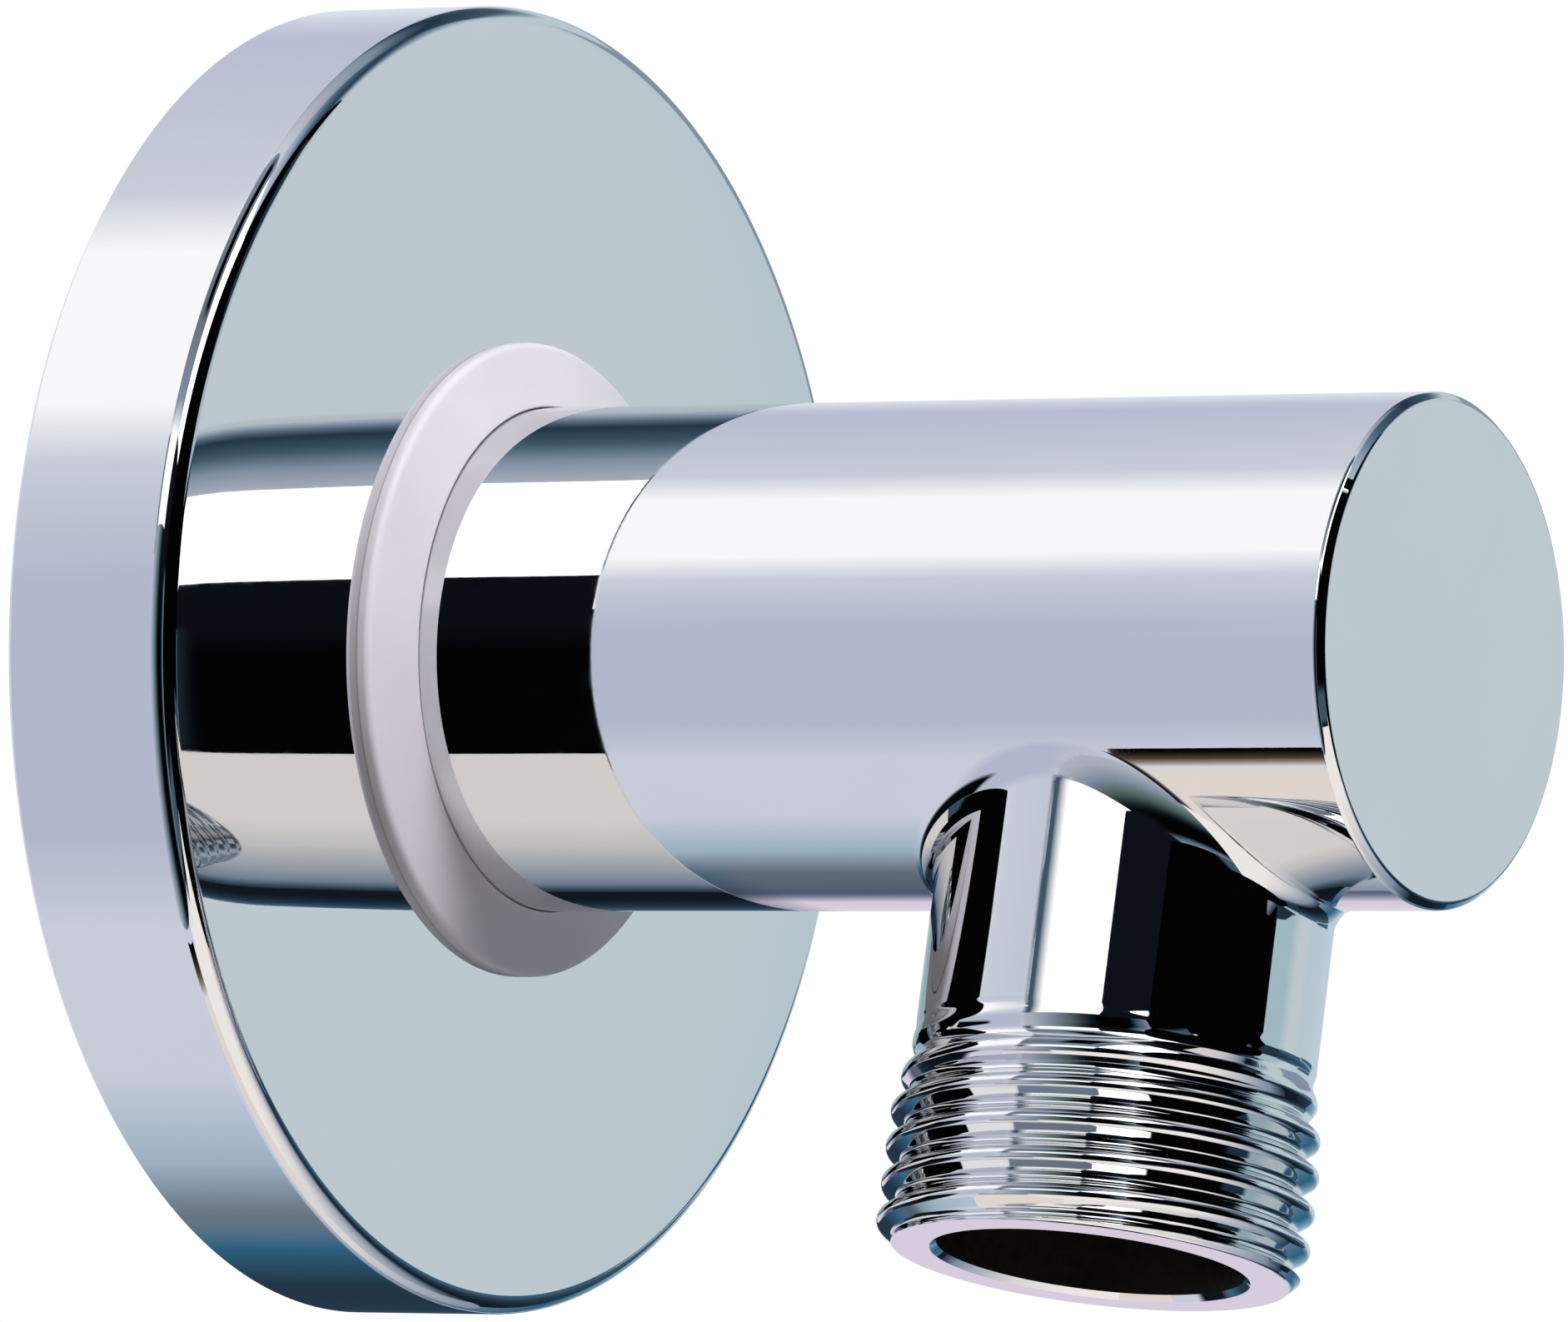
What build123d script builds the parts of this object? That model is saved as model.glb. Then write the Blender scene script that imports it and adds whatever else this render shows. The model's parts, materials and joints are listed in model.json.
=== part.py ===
# Wall outlet elbow for a hand shower hose: a chromed brass elbow that screws into the wall,
# a round rosette that slides and turns on its barrel, and a plastic sealing ring between the two.
#
# Frame: the wall is the plane Y = 0 and the barrel leaves it along -Y. The outlet points
# down along -Z. The origin is on the barrel axis, in the wall plane.

import os

from build123d import *

# Barrel, from the wall to its flat end
barrel_diameter = 25.0
barrel_length = 61.5
barrel_edge_chamfer = 0.4

# Pipe threads, drawn at their major diameter
thread_diameter = 20.955
thread_lead_chamfer = 0.8
inlet_thread_length = 13.0

# Outlet nozzle under the barrel, placed from the barrel's flat end
nozzle_to_end = 15.5
nozzle_reach = 30.5
neck_diameter = 19.5
neck_length = 19.5
thread_run_out = 2.2
junction_fillet = 1.8

# Waterway: a blind bore along the barrel, drilled a little past the outlet bore that meets it
inlet_bore_diameter = 16.0
outlet_bore_diameter = 15.0
bore_overrun = 0.8
drill_point_height = 4.6
bore_mouth_chamfer = 0.4

# Rosette: a shallow hollow-backed cup
rosette_diameter = 65.0
rosette_depth = 9.5
rosette_wall = 1.5
rosette_edge_fillet = 1.0
rosette_rim_chamfer = 0.3

# Sealing ring: a grommet that snaps into the rosette and grips the barrel
ring_grip_clearance = 0.08
ring_neck_wall = 1.4
ring_neck_clearance = 0.1
ring_flange_width = 1.67
ring_flange_edge = 0.65
ring_crown = 1.6
ring_crown_land = 0.3
ring_lip_overlap = 0.8
ring_lip_length = 1.4
ring_edge_chamfer = 0.2

# Derived sizes
barrel_radius = barrel_diameter / 2
nozzle_from_wall = barrel_length - nozzle_to_end
thread_radius = thread_diameter / 2
neck_radius = neck_diameter / 2
inlet_bore_radius = inlet_bore_diameter / 2
outlet_bore_radius = outlet_bore_diameter / 2
bore_end = nozzle_from_wall + outlet_bore_radius + bore_overrun
rosette_radius = rosette_diameter / 2
ring_bore_radius = barrel_radius + ring_grip_clearance
ring_neck_radius = ring_bore_radius + ring_neck_wall
rosette_hole_radius = ring_neck_radius + ring_neck_clearance
ring_flange_radius = rosette_hole_radius + ring_flange_width
ring_lip_radius = rosette_hole_radius + ring_lip_overlap
ring_lip_start = -rosette_depth + rosette_wall + ring_neck_clearance

# Planes and axes: profiles about the barrel are drawn in XY as radius and Y,
# profiles about the nozzle in a plane of their own as radius and Z.
nozzle_plane = Plane.XZ.offset(nozzle_from_wall)
nozzle_axis = Axis((0, -nozzle_from_wall, 0), (0, 0, 1))
nozzle_end_plane = Plane(origin=(0, -nozzle_from_wall, -nozzle_reach), z_dir=(0, 0, 1))


# Elbow body
with BuildPart() as elbow_body:
    # Barrel with its flat end, and the inlet thread behind the shoulder at the wall
    with BuildSketch(Plane.XY):
        with BuildLine():
            Polyline(
                (0, -barrel_length),
                (barrel_radius - barrel_edge_chamfer, -barrel_length),
                (barrel_radius, -barrel_length + barrel_edge_chamfer),
                (barrel_radius, -barrel_edge_chamfer),
                (barrel_radius - barrel_edge_chamfer, 0),
                (thread_radius, 0),
                (thread_radius, inlet_thread_length - thread_lead_chamfer),
                (thread_radius - thread_lead_chamfer, inlet_thread_length),
                (0, inlet_thread_length),
                close=True,
            )
        make_face()
    revolve(axis=Axis.Y)

    # Nozzle: plain neck, the thread's run-out and the threaded length
    with BuildSketch(nozzle_plane):
        with BuildLine():
            Polyline(
                (0, 0),
                (neck_radius, 0),
                (neck_radius, -neck_length),
                (thread_radius, -neck_length - thread_run_out),
                (thread_radius, -nozzle_reach + thread_lead_chamfer),
                (thread_radius - thread_lead_chamfer, -nozzle_reach),
                (0, -nozzle_reach),
                close=True,
            )
        make_face()
    revolve(axis=nozzle_axis)

    # Blend where the neck leaves the barrel: the one edge that is no line and no circle
    plain_edges = (GeomType.LINE, GeomType.CIRCLE)
    fillet(elbow_body.edges().filter_by(lambda edge: edge.geom_type not in plain_edges), junction_fillet)

    # Blind inlet bore with its drill point
    with BuildSketch(Plane.XY):
        with BuildLine():
            Polyline(
                (0, inlet_thread_length),
                (inlet_bore_radius, inlet_thread_length),
                (inlet_bore_radius, -bore_end),
                (0, -bore_end - drill_point_height),
                close=True,
            )
        make_face()
    revolve(axis=Axis.Y, mode=Mode.SUBTRACT)

    # Outlet bore, up to the barrel axis, with a broken edge at its mouth
    with BuildSketch(nozzle_end_plane):
        Circle(outlet_bore_radius)
    extrude(amount=nozzle_reach, mode=Mode.SUBTRACT)
    mouth = elbow_body.faces().sort_by(Axis.Z)[0].inner_wires()[0]
    chamfer(mouth.edges(), bore_mouth_chamfer)

# Rosette
with BuildPart() as rosette:
    with BuildSketch(Plane.XY):
        with BuildLine():
            Polyline(
                (rosette_hole_radius, -rosette_depth),
                (rosette_radius, -rosette_depth),
                (rosette_radius, 0),
                (rosette_radius - rosette_wall, 0),
                (rosette_radius - rosette_wall, -rosette_depth + rosette_wall),
                (rosette_hole_radius, -rosette_depth + rosette_wall),
                close=True,
            )
        make_face()
    revolve(axis=Axis.Y)
    outer_circles = rosette.edges().filter_by(GeomType.CIRCLE).group_by(SortBy.RADIUS)[-1]
    fillet(outer_circles.sort_by(Axis.Y)[0], rosette_edge_fillet)
    rim_circles = rosette.edges().filter_by(GeomType.CIRCLE).group_by(Axis.Y)[-1]
    chamfer(rim_circles.sort_by(SortBy.RADIUS)[-1], rosette_rim_chamfer)

# Sealing ring
with BuildPart() as sealing_ring:
    with BuildSketch(Plane.XY):
        with BuildLine():
            Polyline(
                (ring_bore_radius, -rosette_depth - ring_crown),
                (ring_bore_radius + ring_crown_land, -rosette_depth - ring_crown),
                (ring_flange_radius, -rosette_depth - ring_flange_edge),
                (ring_flange_radius, -rosette_depth),
                (ring_neck_radius, -rosette_depth),
                (ring_neck_radius, ring_lip_start),
                (ring_lip_radius, ring_lip_start),
                (ring_neck_radius, ring_lip_start + ring_lip_length),
                (ring_bore_radius, ring_lip_start + ring_lip_length),
                close=True,
            )
        make_face()
    revolve(axis=Axis.Y)
    flange_circles = sealing_ring.edges().filter_by(GeomType.CIRCLE).group_by(SortBy.RADIUS)[-1]
    chamfer(flange_circles.sort_by(Axis.Y)[0], ring_edge_chamfer)


os.makedirs("parts", exist_ok=True)

elbow_body.part.label = "elbow_body"
export_step(elbow_body.part, "parts/elbow_body.step")
rosette.part.label = "rosette"
export_step(rosette.part, "parts/rosette.step")
sealing_ring.part.label = "sealing_ring"
export_step(sealing_ring.part, "parts/sealing_ring.step")
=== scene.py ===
import json
import math

import bmesh
import bpy
import numpy as np
from mathutils import Matrix, Vector


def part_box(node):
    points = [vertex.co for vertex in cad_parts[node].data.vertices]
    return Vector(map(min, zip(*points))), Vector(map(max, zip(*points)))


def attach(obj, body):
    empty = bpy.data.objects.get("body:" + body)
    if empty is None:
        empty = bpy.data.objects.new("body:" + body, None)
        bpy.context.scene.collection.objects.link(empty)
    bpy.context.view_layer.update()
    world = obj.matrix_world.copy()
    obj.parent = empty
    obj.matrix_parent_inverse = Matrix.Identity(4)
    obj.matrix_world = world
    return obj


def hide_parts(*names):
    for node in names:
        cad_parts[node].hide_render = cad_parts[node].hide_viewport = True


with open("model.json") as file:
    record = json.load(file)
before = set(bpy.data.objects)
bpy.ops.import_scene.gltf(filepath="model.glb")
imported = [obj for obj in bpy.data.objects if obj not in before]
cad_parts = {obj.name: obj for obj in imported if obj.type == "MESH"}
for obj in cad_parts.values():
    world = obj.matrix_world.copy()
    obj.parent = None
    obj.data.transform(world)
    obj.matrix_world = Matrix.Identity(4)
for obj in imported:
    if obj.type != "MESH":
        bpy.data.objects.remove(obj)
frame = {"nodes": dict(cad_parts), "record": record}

mm = 0.001
fullTurn = 2 * math.pi
weldGap = 0.5e-6
sliver = 1e-8
scene = bpy.context.scene
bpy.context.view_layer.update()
elbowLow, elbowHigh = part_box("elbow_body")
rosetteLow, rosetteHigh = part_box("rosette")
ringLow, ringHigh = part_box("sealing_ring")
mounts = {mount["name"]: mount for mount in frame["record"]["mounts"]}
print("frame loaded:", sorted(frame["nodes"]))


# Small helpers for node trees

def addNode(tree, kind, **settings):
    node = tree.nodes.new(kind)
    for key, value in settings.items():
        setattr(node, key, value)
    return node


def feed(tree, socket, value):
    if isinstance(value, bpy.types.NodeSocket):
        tree.links.new(value, socket)
    else:
        socket.default_value = value


def calculator(tree):
    def calc(operation, *terms):
        node = addNode(tree, "ShaderNodeMath", operation=operation)
        for socket, term in zip(node.inputs, terms):
            feed(tree, socket, term)
        return node.outputs[0]
    return calc


def joinXYZ(tree, *parts):
    node = addNode(tree, "ShaderNodeCombineXYZ")
    for socket, part in zip(node.inputs, parts):
        feed(tree, socket, part)
    return node.outputs["Vector"]


def splitXYZ(tree, vector):
    node = addNode(tree, "ShaderNodeSeparateXYZ")
    tree.links.new(vector, node.inputs["Vector"])
    return node.outputs


def unitGrid(tree, columns, rows):
    grid = addNode(tree, "GeometryNodeMeshGrid")
    feed(tree, grid.inputs["Size X"], 1.0)
    feed(tree, grid.inputs["Size Y"], 1.0)
    feed(tree, grid.inputs["Vertices X"], columns)
    feed(tree, grid.inputs["Vertices Y"], rows)
    return grid.outputs["Mesh"]


def newTree(name, inputs):
    tree = bpy.data.node_groups.new(name, "GeometryNodeTree")
    for label, kind in inputs:
        tree.interface.new_socket(label, in_out="INPUT", socket_type="NodeSocket" + kind)
    tree.interface.new_socket("Geometry", in_out="OUTPUT", socket_type="NodeSocketGeometry")
    return tree


def finishTree(tree, geometry, material):
    realize = addNode(tree, "GeometryNodeRealizeInstances")
    tree.links.new(geometry, realize.inputs["Geometry"])
    dress = addNode(tree, "GeometryNodeSetMaterial")
    tree.links.new(realize.outputs["Geometry"], dress.inputs["Geometry"])
    tree.links.new(material, dress.inputs["Material"])
    out = addNode(tree, "NodeGroupOutput")
    tree.links.new(dress.outputs["Geometry"], out.inputs["Geometry"])


def runTree(tree, mesh, values):
    carrier = bpy.data.objects.new(tree.name + "Carrier", mesh)
    scene.collection.objects.link(carrier)
    modifier = carrier.modifiers.new(tree.name, "NODES")
    modifier.node_group = tree
    for item in tree.interface.items_tree:
        if item.in_out == "INPUT" and item.name in values:
            modifier[item.identifier] = values[item.name]
    graph = bpy.context.evaluated_depsgraph_get()
    made = bpy.data.meshes.new_from_object(carrier.evaluated_get(graph))
    carrier.modifiers.remove(modifier)
    bpy.data.objects.remove(carrier)
    bpy.data.meshes.remove(mesh)
    return made


# Finishes

def newMaterial(name):
    material = bpy.data.materials.new(name)
    material.use_nodes = True
    tree = material.node_tree
    return material, tree, tree.nodes["Principled BSDF"]


noiseDetail = 3.0
fineDetail = 4.0
noiseLow = 0.3     # the noise mostly lies between these two
noiseHigh = 0.7


def addNoise(tree, scale, detail=noiseDetail):
    place = addNode(tree, "ShaderNodeTexCoord")
    noise = addNode(tree, "ShaderNodeTexNoise")
    noise.inputs["Scale"].default_value = scale
    noise.inputs["Detail"].default_value = detail
    tree.links.new(place.outputs["Object"], noise.inputs["Vector"])
    return noise.outputs["Fac"]


def addRamp(tree, factor, low, high):
    ramp = addNode(tree, "ShaderNodeValToRGB")
    ramp.color_ramp.elements[0].position = noiseLow
    ramp.color_ramp.elements[0].color = (*low, 1)
    ramp.color_ramp.elements[1].position = noiseHigh
    ramp.color_ramp.elements[1].color = (*high, 1)
    tree.links.new(factor, ramp.inputs["Fac"])
    return ramp.outputs["Color"]


def addRange(tree, factor, low, high):
    spread = addNode(tree, "ShaderNodeMapRange")
    spread.inputs["From Min"].default_value = noiseLow
    spread.inputs["From Max"].default_value = noiseHigh
    spread.inputs["To Min"].default_value = low
    spread.inputs["To Max"].default_value = high
    tree.links.new(factor, spread.inputs["Value"])
    return spread.outputs["Result"]


# cloudy colour, and a fine grain in roughness and bump
def addGrain(tree, shader, look):
    cloud = addNoise(tree, look["cloudScale"])
    fine = addNoise(tree, look["fineScale"], fineDetail)
    tree.links.new(addRamp(tree, cloud, look["low"], look["high"]), shader.inputs["Base Color"])
    tree.links.new(addRange(tree, fine, look["smooth"], look["dull"]), shader.inputs["Roughness"])
    bump = addNode(tree, "ShaderNodeBump")
    bump.inputs["Strength"].default_value = look["bumpStrength"]
    bump.inputs["Distance"].default_value = look["bumpDepth"]
    tree.links.new(fine, bump.inputs["Height"])
    tree.links.new(bump.outputs["Normal"], shader.inputs["Normal"])


metals = {
    "chromePlate": {
        "low": (0.745, 0.75, 0.757), "high": (0.765, 0.77, 0.775), "smooth": 0.012, "dull": 0.03,
        "cloudScale": 60.0, "fineScale": 900.0, "bumpStrength": 0.02, "bumpDepth": 0.02 * mm,
    },
    "dullPlate": {
        "low": (0.42, 0.425, 0.44), "high": (0.52, 0.525, 0.54), "smooth": 0.28, "dull": 0.42,
        "cloudScale": 90.0, "fineScale": 1600.0, "bumpStrength": 0.25, "bumpDepth": 0.06 * mm,
    },
    # the waterway's brass, its colour painted almost black as painted shade deep inside the bores
    "brassPaintedShade": {
        "low": (0.035, 0.03, 0.024), "high": (0.06, 0.05, 0.036), "smooth": 0.45, "dull": 0.6,
        "cloudScale": 90.0, "fineScale": 1600.0, "bumpStrength": 0.3, "bumpDepth": 0.06 * mm,
    },
}


def metalFinish(name):
    material, tree, shader = newMaterial(name)
    shader.inputs["Metallic"].default_value = 1.0
    addGrain(tree, shader, metals[name])
    return material


milky = {
    "low": (0.66, 0.63, 0.69), "high": (0.71, 0.68, 0.74), "smooth": 0.30, "dull": 0.42,
    "cloudScale": 140.0, "fineScale": 1400.0, "bumpStrength": 0.15, "bumpDepth": 0.03 * mm,
    "ior": 1.5,
    "scatterTint": (1.0, 0.95, 1.0),
    "scatterDepth": 0.3 * mm,
}


def milkyFinish():
    material, tree, shader = newMaterial("milkyPlastic")
    addGrain(tree, shader, milky)
    shader.inputs["IOR"].default_value = milky["ior"]
    shader.inputs["Subsurface Weight"].default_value = 1.0
    shader.inputs["Subsurface Radius"].default_value = milky["scatterTint"]
    shader.inputs["Subsurface Scale"].default_value = milky["scatterDepth"]
    return material


chromePlate = metalFinish("chromePlate")
dullPlate = metalFinish("dullPlate")
brassPaintedShade = metalFinish("brassPaintedShade")
milkyPlastic = milkyFinish()
print("finishes ready")


# Shells built from patches, each corner with the true normal of its surface

def newShell():
    return {"points": [], "normals": [], "faces": [], "slots": [], "count": 0}


def addFaces(shell, points, normals, faces, slot):
    shell["points"].append(points.reshape(-1, 3))
    shell["normals"].append(normals.reshape(-1, 3))
    shell["faces"].extend(tuple(shell["count"] + corner for corner in face) for face in faces)
    shell["slots"].extend([slot] * len(faces))
    shell["count"] += points.reshape(-1, 3).shape[0]


def gridQuads(rows, columns):
    index = np.arange(rows * columns).reshape(rows, columns)
    quads = np.stack([index[:-1, :-1], index[:-1, 1:], index[1:, 1:], index[1:, :-1]], -1)
    return quads.reshape(-1, 4).tolist()


def addPatch(shell, points, normals, slot=0):
    addFaces(shell, points, np.broadcast_to(normals, points.shape), gridQuads(*points.shape[:2]), slot)


def addMesh(shell, mesh, matrix, slot=0):
    turn = np.array(matrix.to_3x3())
    points = np.array([vertex.co for vertex in mesh.vertices]) @ turn.T + np.array(matrix.translation)
    normals = np.array([normal.vector for normal in mesh.attributes["trueNormal"].data]) @ turn.T
    normals = normals / np.linalg.norm(normals, axis=1)[:, None]
    addFaces(shell, points, normals, [tuple(face.vertices) for face in mesh.polygons], slot)


def shellMesh(name, shell):
    mesh = bpy.data.meshes.new(name)
    mesh.from_pydata(np.concatenate(shell["points"]).tolist(), [], shell["faces"])
    mesh.polygons.foreach_set("material_index", shell["slots"])
    corners = np.zeros(len(mesh.loops), int)
    mesh.loops.foreach_get("vertex_index", corners)
    attribute = mesh.attributes.new("shadeNormal", "FLOAT_VECTOR", "CORNER")
    attribute.data.foreach_set("vector", np.concatenate(shell["normals"])[corners].ravel())
    return mesh


def finishPiece(name, mesh, materials, body, node):
    model = bmesh.new()
    model.from_mesh(mesh)
    bmesh.ops.remove_doubles(model, verts=model.verts, dist=weldGap)
    bmesh.ops.dissolve_degenerate(model, dist=sliver, edges=model.edges)
    trueNormal = model.loops.layers.float_vector["shadeNormal"]
    for face in model.faces:
        meant = sum((loop[trueNormal] for loop in face.loops), Vector())
        if face.normal.dot(meant) < 0:
            face.normal_flip()
        face.smooth = True
    openEdges = sum(not edge.is_manifold for edge in model.edges)
    triangles = sum(len(face.verts) - 2 for face in model.faces)
    model.to_mesh(mesh)
    model.free()
    normals = np.zeros(len(mesh.loops) * 3)
    mesh.attributes["shadeNormal"].data.foreach_get("vector", normals)
    mesh.attributes.remove(mesh.attributes["shadeNormal"])
    mesh.normals_split_custom_set(normals.reshape(-1, 3).tolist())
    slots = np.zeros(len(mesh.polygons), int)
    mesh.polygons.foreach_get("material_index", slots)
    mesh.materials.clear()   # also sets every face to the first slot
    for material in materials:
        mesh.materials.append(material)
    mesh.polygons.foreach_set("material_index", slots)
    mesh.name = name
    piece = bpy.data.objects.new(name, mesh)
    scene.collection.objects.link(piece)
    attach(piece, body)
    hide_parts(node)
    print(name, "made:", triangles, "triangles,", openEdges, "open edges")


# Pipe thread: a grid whose rows follow the helix, with straight flanks and rounded crests and roots

def pipeThreadTree():
    sizes = ["Rows Per Pitch", "Pitch", "Length", "Major Radius", "Minor Radius", "Start Radius",
             "End Radius", "Crest Radius", "Root Radius", "Crest Run", "Root Run", "End Land",
             "Half Angle", "Turn"]
    inputs = [("Columns", "Int"), ("Rows", "Int")]
    inputs += [(label, "Float") for label in sizes]
    inputs += [("Material", "Material")]
    tree = newTree("pipeThread", inputs)
    calc = calculator(tree)
    size = addNode(tree, "NodeGroupInput").outputs
    grid = unitGrid(tree, calc("ADD", size["Columns"], 1.0), calc("ADD", size["Rows"], 1.0))
    spot = splitXYZ(tree, addNode(tree, "GeometryNodeInputPosition").outputs["Position"])
    share = calc("ADD", spot["X"], 0.5)
    row = calc("MULTIPLY", calc("ADD", spot["Y"], 0.5), size["Rows"])

    # height along the axis: rows climb one pitch in a turn and are cut off at both ends
    climb = calc("SUBTRACT", share, calc("DIVIDE", row, size["Rows Per Pitch"]))
    height = calc("MINIMUM", calc("MULTIPLY", climb, size["Pitch"]), 0.0)
    height = calc("MAXIMUM", height, calc("MULTIPLY", size["Length"], -1.0))

    # section of the thread: a rounded crest, a straight flank and a rounded root
    half = calc("MULTIPLY", size["Pitch"], 0.5)
    tangent = calc("TANGENT", size["Half Angle"])
    cosine = calc("COSINE", size["Half Angle"])
    sagShare = calc("SUBTRACT", 1.0, calc("SINE", size["Half Angle"]))
    crestEnd = calc("MULTIPLY", size["Crest Radius"], cosine)
    crestSag = calc("MULTIPLY", size["Crest Radius"], sagShare)
    rootEnd = calc("MULTIPLY", size["Root Radius"], cosine)
    rootSag = calc("MULTIPLY", size["Root Radius"], sagShare)
    run = calc("SUBTRACT", half, calc("ADD", crestEnd, rootEnd))
    fullDepth = calc("ADD", calc("ADD", crestSag, rootSag), calc("DIVIDE", run, tangent))

    def roundSag(radius, offset):
        rest = calc("SUBTRACT", calc("POWER", radius, 2.0), calc("POWER", offset, 2.0))
        return calc("SUBTRACT", radius, calc("SQRT", calc("MAXIMUM", rest, 0.0)))

    def choose(first, second, useSecond):
        return calc("ADD", first, calc("MULTIPLY", useSecond, calc("SUBTRACT", second, first)))

    def fadeIn(value, run):
        fade = addNode(tree, "ShaderNodeMapRange", interpolation_type="SMOOTHSTEP")
        feed(tree, fade.inputs["Value"], value)
        feed(tree, fade.inputs["From Max"], run)
        return fade.outputs["Result"]

    def radiusAt(level, turn):
        depth = calc("MULTIPLY", level, -1.0)
        fromEnd = calc("SUBTRACT", size["Length"], depth)
        turns = calc("SUBTRACT", calc("DIVIDE", level, size["Pitch"]), turn)
        phase = calc("FRACT", calc("ADD", turns, size["Turn"]))
        offCrest = calc("MULTIPLY", calc("ABSOLUTE", calc("SUBTRACT", phase, 0.5)), size["Pitch"])
        offRoot = calc("SUBTRACT", half, offCrest)
        drop = calc("ADD", crestSag, calc("DIVIDE", calc("SUBTRACT", offCrest, crestEnd), tangent))
        drop = choose(drop, roundSag(size["Crest Radius"], offCrest), calc("LESS_THAN", offCrest, crestEnd))
        rootDrop = calc("SUBTRACT", fullDepth, roundSag(size["Root Radius"], offRoot))
        drop = choose(drop, rootDrop, calc("LESS_THAN", offRoot, rootEnd))
        wave = calc("SUBTRACT", 1.0, calc("DIVIDE", drop, fullDepth))

        # over the run-out the roots sink soon and the crests rise slowly
        root = calc("SUBTRACT", size["Minor Radius"], size["Start Radius"])
        root = calc("MULTIPLY", root, fadeIn(depth, size["Root Run"]))
        crest = calc("SUBTRACT", size["Major Radius"], size["Start Radius"])
        crest = calc("MULTIPLY", crest, fadeIn(depth, size["Crest Run"]))
        swing = calc("MULTIPLY", calc("SUBTRACT", crest, root), wave)
        radius = calc("ADD", size["Start Radius"], calc("ADD", root, swing))

        # lead chamfer at the open end, closed to a true circle on its last land
        radius = calc("MINIMUM", radius, calc("ADD", size["End Radius"], fromEnd))
        radius = calc("SUBTRACT", radius, size["End Radius"])
        radius = calc("MULTIPLY", radius, fadeIn(fromEnd, size["End Land"]))
        return calc("ADD", size["End Radius"], radius)

    radius = radiusAt(height, share)

    # true normals, from the slopes along the axis and round it
    step = 0.004 * mm
    tick = 0.0005
    above = radiusAt(calc("ADD", height, step), share)
    below = radiusAt(calc("SUBTRACT", height, step), share)
    rising = calc("DIVIDE", calc("SUBTRACT", above, below), 2 * step)
    ahead = radiusAt(height, calc("ADD", share, tick))
    behind = radiusAt(height, calc("SUBTRACT", share, tick))
    turning = calc("DIVIDE", calc("SUBTRACT", ahead, behind), 2 * fullTurn * tick)
    turning = calc("DIVIDE", turning, radius)
    angle = calc("MULTIPLY", share, fullTurn)
    across = calc("COSINE", angle)
    along = calc("SINE", angle)
    normal = joinXYZ(tree, calc("ADD", across, calc("MULTIPLY", turning, along)),
                     calc("SUBTRACT", along, calc("MULTIPLY", turning, across)),
                     calc("MULTIPLY", rising, -1.0))
    keep = addNode(tree, "GeometryNodeStoreNamedAttribute", data_type="FLOAT_VECTOR", domain="POINT")
    keep.inputs["Name"].default_value = "trueNormal"
    tree.links.new(grid, keep.inputs["Geometry"])
    tree.links.new(normal, keep.inputs["Value"])
    place = joinXYZ(tree, calc("MULTIPLY", radius, across), calc("MULTIPLY", radius, along), height)
    shape = addNode(tree, "GeometryNodeSetPosition")
    tree.links.new(keep.outputs["Geometry"], shape.inputs["Geometry"])
    tree.links.new(place, shape.inputs["Position"])
    weld = addNode(tree, "GeometryNodeMergeByDistance")
    tree.links.new(shape.outputs["Geometry"], weld.inputs["Geometry"])
    weld.inputs["Distance"].default_value = weldGap
    finishTree(tree, weld.outputs["Geometry"], size["Material"])
    return tree


threadTree = pipeThreadTree()
thread = {
    "pitch": 1.814 * mm,
    "majorRadius": mounts["outlet_thread"]["dims"]["r_mm"] * mm,
    "minorRadius": 9.64 * mm,
    "endRadius": 9.68 * mm,
    "crestRadius": 0.38 * mm,
    "rootRadius": 0.30 * mm,
    "endLand": 0.22 * mm,
    "halfAngle": math.radians(32.5),   # polished and plated, so softer than the cut 27.5
}


def makeThread(columns, rowsPerPitch, length, startRadius, crestRun, rootRun, turn):
    return runTree(threadTree, bpy.data.meshes.new("threadBlank"), {
        "Columns": columns,
        "Rows": math.ceil(rowsPerPitch * (length / thread["pitch"] + 1)),
        "Rows Per Pitch": float(rowsPerPitch),
        "Pitch": thread["pitch"],
        "Length": length,
        "Major Radius": thread["majorRadius"],
        "Minor Radius": thread["minorRadius"],
        "Start Radius": startRadius,
        "End Radius": thread["endRadius"],
        "Crest Radius": thread["crestRadius"],
        "Root Radius": thread["rootRadius"],
        "Crest Run": crestRun,
        "Root Run": rootRun,
        "End Land": thread["endLand"],
        "Half Angle": thread["halfAngle"],
        "Turn": turn,
        "Material": chromePlate,
    })


# Elbow: barrel, blend, neck, both threads and the waterway as one closed shell

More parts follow.
